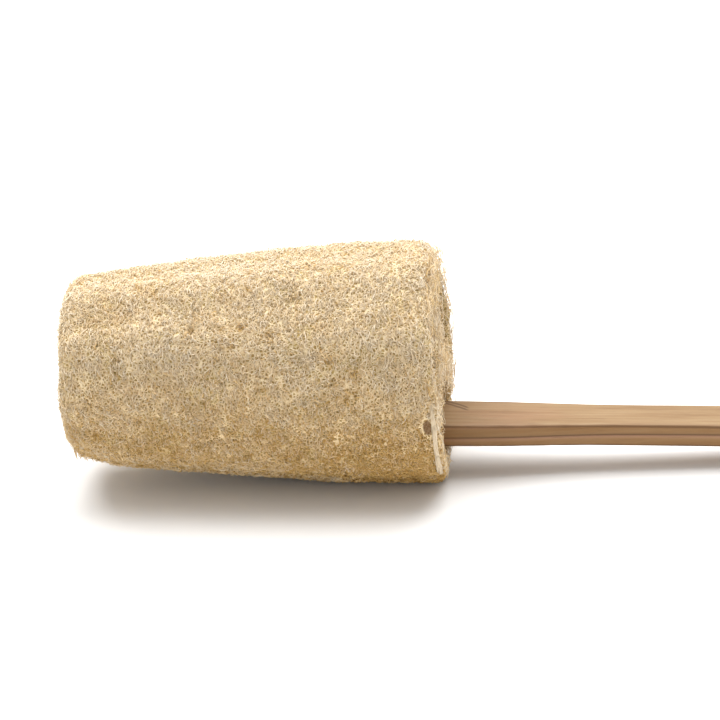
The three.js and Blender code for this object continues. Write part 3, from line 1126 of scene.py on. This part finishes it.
def strap_fibres(surface, pits, rng):
    """A smooth band of long fibres that run round the rim."""
    count = STRAP_FIBRES
    x = MOUTH_X - STRAP_SETBACK + rng.uniform(-1, 1, count) * STRAP_HALF_WIDTH
    angle = rng.uniform(*STRAP_ANGLES[::-1], count)
    starts = np.stack([
        x, -np.cos(angle) * MOUTH_RADIUS, axis_height(x) + np.sin(angle) * MOUTH_RADIUS
    ], axis=1)
    starts, normals = snapped(surface, starts)
    headings = unit(np.cross(normals, np.tile([1.0, 0, 0], (count, 1))))
    lengths = rng.uniform(*STRAP_LENGTH, count)
    return laid_fibres(
        surface, starts, normals, headings, lengths, STRAP_WANDER, "strap", pits, rng
    )


def web_starts(surface, where, rng):
    """Where the loose web's fibres start, near the felt, and its normals there."""
    tries = WEB_FIBRES[where] * WEB_TRIES
    depth = rng.uniform(-WEB_PROUD[where], WEB_DEPTH, tries)
    x = MOUTH_X - depth if where == "mouth" else FAR_X + depth
    distance = np.sqrt(rng.uniform(0, 1, tries)) * (outer_radius(x) - WEB_RIM)
    angle = rng.uniform(-math.pi, math.pi, tries)
    starts = np.stack([
        x, np.cos(angle) * distance, axis_height(x) + np.sin(angle) * distance
    ], axis=1)
    places, normals = snapped(surface, starts)
    above = ((starts - places) * normals).sum(axis=1) > 0
    span = np.linalg.norm(starts - places, axis=1)
    near_felt = rng.uniform(0, 1, tries) < np.exp(-(span / WEB_THICKNESS) ** 2)
    clear = stick_distance(starts) > WEB_START_GAP
    chosen = np.flatnonzero(above & near_felt & clear)[:WEB_FIBRES[where]]
    return starts[chosen], normals[chosen]


def web_fibres(surface, where, rng):
    """Loose fibres across the mouths of the seed chambers."""
    starts, normals = web_starts(surface, where, rng)
    count = len(starts)
    headings = unit(rng.normal(0, 1, (count, 3)) * WEB_ACROSS)
    headings = unit(flat_on(headings, normals) + WEB_LOOSENESS * headings)
    lengths = rng.uniform(*WEB_LENGTH, count)
    half = FIBRE_RINGS // 2
    points = np.empty((count, FIBRE_RINGS, 3))
    points[:, half] = starts
    for way in (1, -1):
        place, ahead = starts, headings * way
        for step in range(1, half + 1):
            ahead = unit(ahead + rng.normal(0, WEB_WANDER, (count, 3)))
            place = place + ahead * (lengths / (FIBRE_RINGS - 1))[:, None]
            points[:, half + way * step] = place
    ups = np.repeat(normals[:, None, :], FIBRE_RINGS, axis=1)

    flat = points.reshape(-1, 3)
    first_x = points[..., 0].min(axis=1)
    last_x = points[..., 0].max(axis=1)
    gap = per_fibre(stick_distance(flat)).min(axis=1)
    in_the_way = (last_x > MOUTH_X - WEB_MOUTH_BAND) & (gap < WEB_MOUTH_GAP)
    in_the_way = in_the_way | (gap < WEB_GAP)
    reach_out = np.maximum(last_x - MOUTH_X, FAR_X - first_x)
    torn = per_fibre(tear_share(flat, 0.0)).max(axis=1) > TEAR_LIMIT
    wide = per_fibre(radial(flat)[0]).max(axis=1) > MOUTH_RADIUS
    kept = ~in_the_way & (reach_out < WEB_REACH_OUT[where]) & ~torn & ~wide
    # a web fibre deeper in a chamber lies lower, and so takes more painted shade
    level = 1 - np.clip((MOUTH_X - starts[:, 0]) / WEB_DEPTH, 0, 1)
    tones, lights = fibre_tones(starts, level, np.zeros(count), "chamber", rng)
    return points[kept], ups[kept], tones[kept], lights[kept]


def fibres(surface, felt, skin, pits, rng, finish):
    """All the loofah's fibres, in pieces from the far end to the mouth."""
    batches = list(skin_fibres(surface, felt, skin, pits, rng))
    batches.append(strap_fibres(surface, pits, rng))
    batches.append(web_fibres(surface, "mouth", rng))
    batches.append(web_fibres(surface, "far", rng))
    points, ups, tones, lights = (
        np.concatenate([batch[part] for batch in batches]) for part in range(4)
    )
    radii = rng.uniform(0, 1, len(points)) ** RADIUS_SKEW
    radii = FIBRE_RADIUS[0] + radii * (FIBRE_RADIUS[1] - FIBRE_RADIUS[0])
    corners = tube_points(points, ups, radii)
    corners[..., 2] = np.maximum(corners[..., 2], FLOOR_GAP)
    order = np.argsort(points[:, FIBRE_RINGS // 2, 0], kind="stable")
    count = math.ceil(len(order) / FIBRES_PER_PIECE)
    for number, part in enumerate(np.array_split(order, count), start=1):
        name = f"loofah_fibres_{number}"
        fibre_piece(name, corners[part], tones[part], lights[part], finish)


# ---- the stick


def stick_body(finish):
    """The slat with softened edges, turned level while its surface is rebuilt."""
    stick = merged_copy("handle_stick", "stick_slat")
    level = Matrix.Rotation(-math.atan(stick_slope()), 4, "Y")
    stick.data.transform(level)
    remesh = {"mode": "VOXEL", "voxel_size": STICK_VOXEL, "use_smooth_shade": True}
    apply_modifier(stick, "REMESH", remesh)
    apply_modifier(stick, "SMOOTH", {"factor": 0.5, "iterations": STICK_SMOOTHING})
    stick.data.transform(level.inverted())
    points = points_of(stick.data)
    normals = normals_of(stick.data)
    swell = noise_at(points, STICK_SWELL[0], "stick_swell") * STICK_SWELL[1]
    ripple = noise_at(points, STICK_RIPPLE[0], "stick_ripple") * STICK_RIPPLE[1]
    put_points(stick.data, points + normals * (swell + ripple)[:, None])
    stick.data.materials.append(finish)
    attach(stick, "root")
    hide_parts("handle_stick")


# ---- the studio


def floor():
    deselect_all()
    bpy.ops.mesh.primitive_plane_add(size=FLOOR_SIZE, location=(0, 0, 0))
    ground = bpy.context.object
    ground.name = "studio_floor"
    finish = Finish("studio_floor", {"Roughness": 0.9, "Specular IOR Level": 0.1})
    tint = finish.noise(finish.place(), 0.8)
    finish.feed("Base Color", finish.ramp(tint, FLOOR_COLOURS))
    ground.data.materials.append(finish.material)


def softbox(name, place, target, size, power):
    light = bpy.data.lights.new(name, "AREA")
    light.shape = "RECTANGLE"
    light.size, light.size_y = size
    light.energy = power
    lamp = bpy.data.objects.new(name, light)
    bpy.context.scene.collection.objects.link(lamp)
    lamp.location = place
    aim = Vector(target) - Vector(place)
    lamp.rotation_euler = aim.to_track_quat("-Z", "Y").to_euler()


def studio(middle):
    world = bpy.data.worlds.new("studio")
    bpy.context.scene.world = world
    world.use_nodes = True
    background = world.node_tree.nodes["Background"]
    background.inputs["Color"].default_value = SKY_COLOUR
    background.inputs["Strength"].default_value = SKY_STRENGTH
    above = (middle[0] + SOFTBOX_OFFSET, SOFTBOX_BEHIND, SOFTBOX_HEIGHT)
    softbox("softbox_above", above, middle, SOFTBOX_SIZE, SOFTBOX_POWER)
    bpy.context.scene.view_settings.view_transform = "Standard"


def camera():
    """The view from the front and above, rolled until the stick falls as it should."""
    low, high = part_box("loofah_sponge")
    middle_height = (low[2] + high[2]) / 2
    target = Vector((high[0] + VIEW_TARGET[0], 0.0, middle_height + VIEW_TARGET[1]))
    azimuth = math.radians(VIEW_AZIMUTH)
    elevation = math.radians(VIEW_ELEVATION)
    toward = Vector((
        math.sin(azimuth) * math.cos(elevation),
        -math.cos(azimuth) * math.cos(elevation),
        math.sin(elevation),
    ))
    right = Vector((math.cos(azimuth), math.sin(azimuth), 0))
    up = toward.cross(right)
    along = Vector((1, 0, -stick_slope())).normalized()
    falls = math.atan2(along.dot(up), along.dot(right))
    roll = falls + math.radians(STICK_FALL_IN_VIEW)
    level = Matrix((right, up, toward)).transposed()
    data = bpy.data.cameras.new("camera")
    data.sensor_width = SENSOR_WIDTH
    data.lens = SENSOR_WIDTH * VIEW_DISTANCE / FIELD_WIDTH
    eye = bpy.data.objects.new("camera", data)
    bpy.context.scene.collection.objects.link(eye)
    turn = (level @ Matrix.Rotation(roll, 3, "Z")).to_4x4()
    eye.matrix_world = Matrix.Translation(target + toward * VIEW_DISTANCE) @ turn
    bpy.context.scene.camera = eye


camera()
floor()
studio([(low + high) / 2 for low, high in zip(*cad_box)])

draws = np.random.default_rng(SEED)
felt = felt_body()
surface, skin, pits = shape_felt(felt, draws)
felt.data.materials.append(felt_finish())
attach(felt, "root")
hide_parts("loofah_sponge")
fibres(surface, felt, skin, pits, draws, fibre_finish())

stick_body(wood_finish(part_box("handle_stick")))
pegs = peg_finish()
for name in ("peg_front", "peg_rear"):
    for material_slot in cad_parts[name].material_slots:
        material_slot.material = pegs
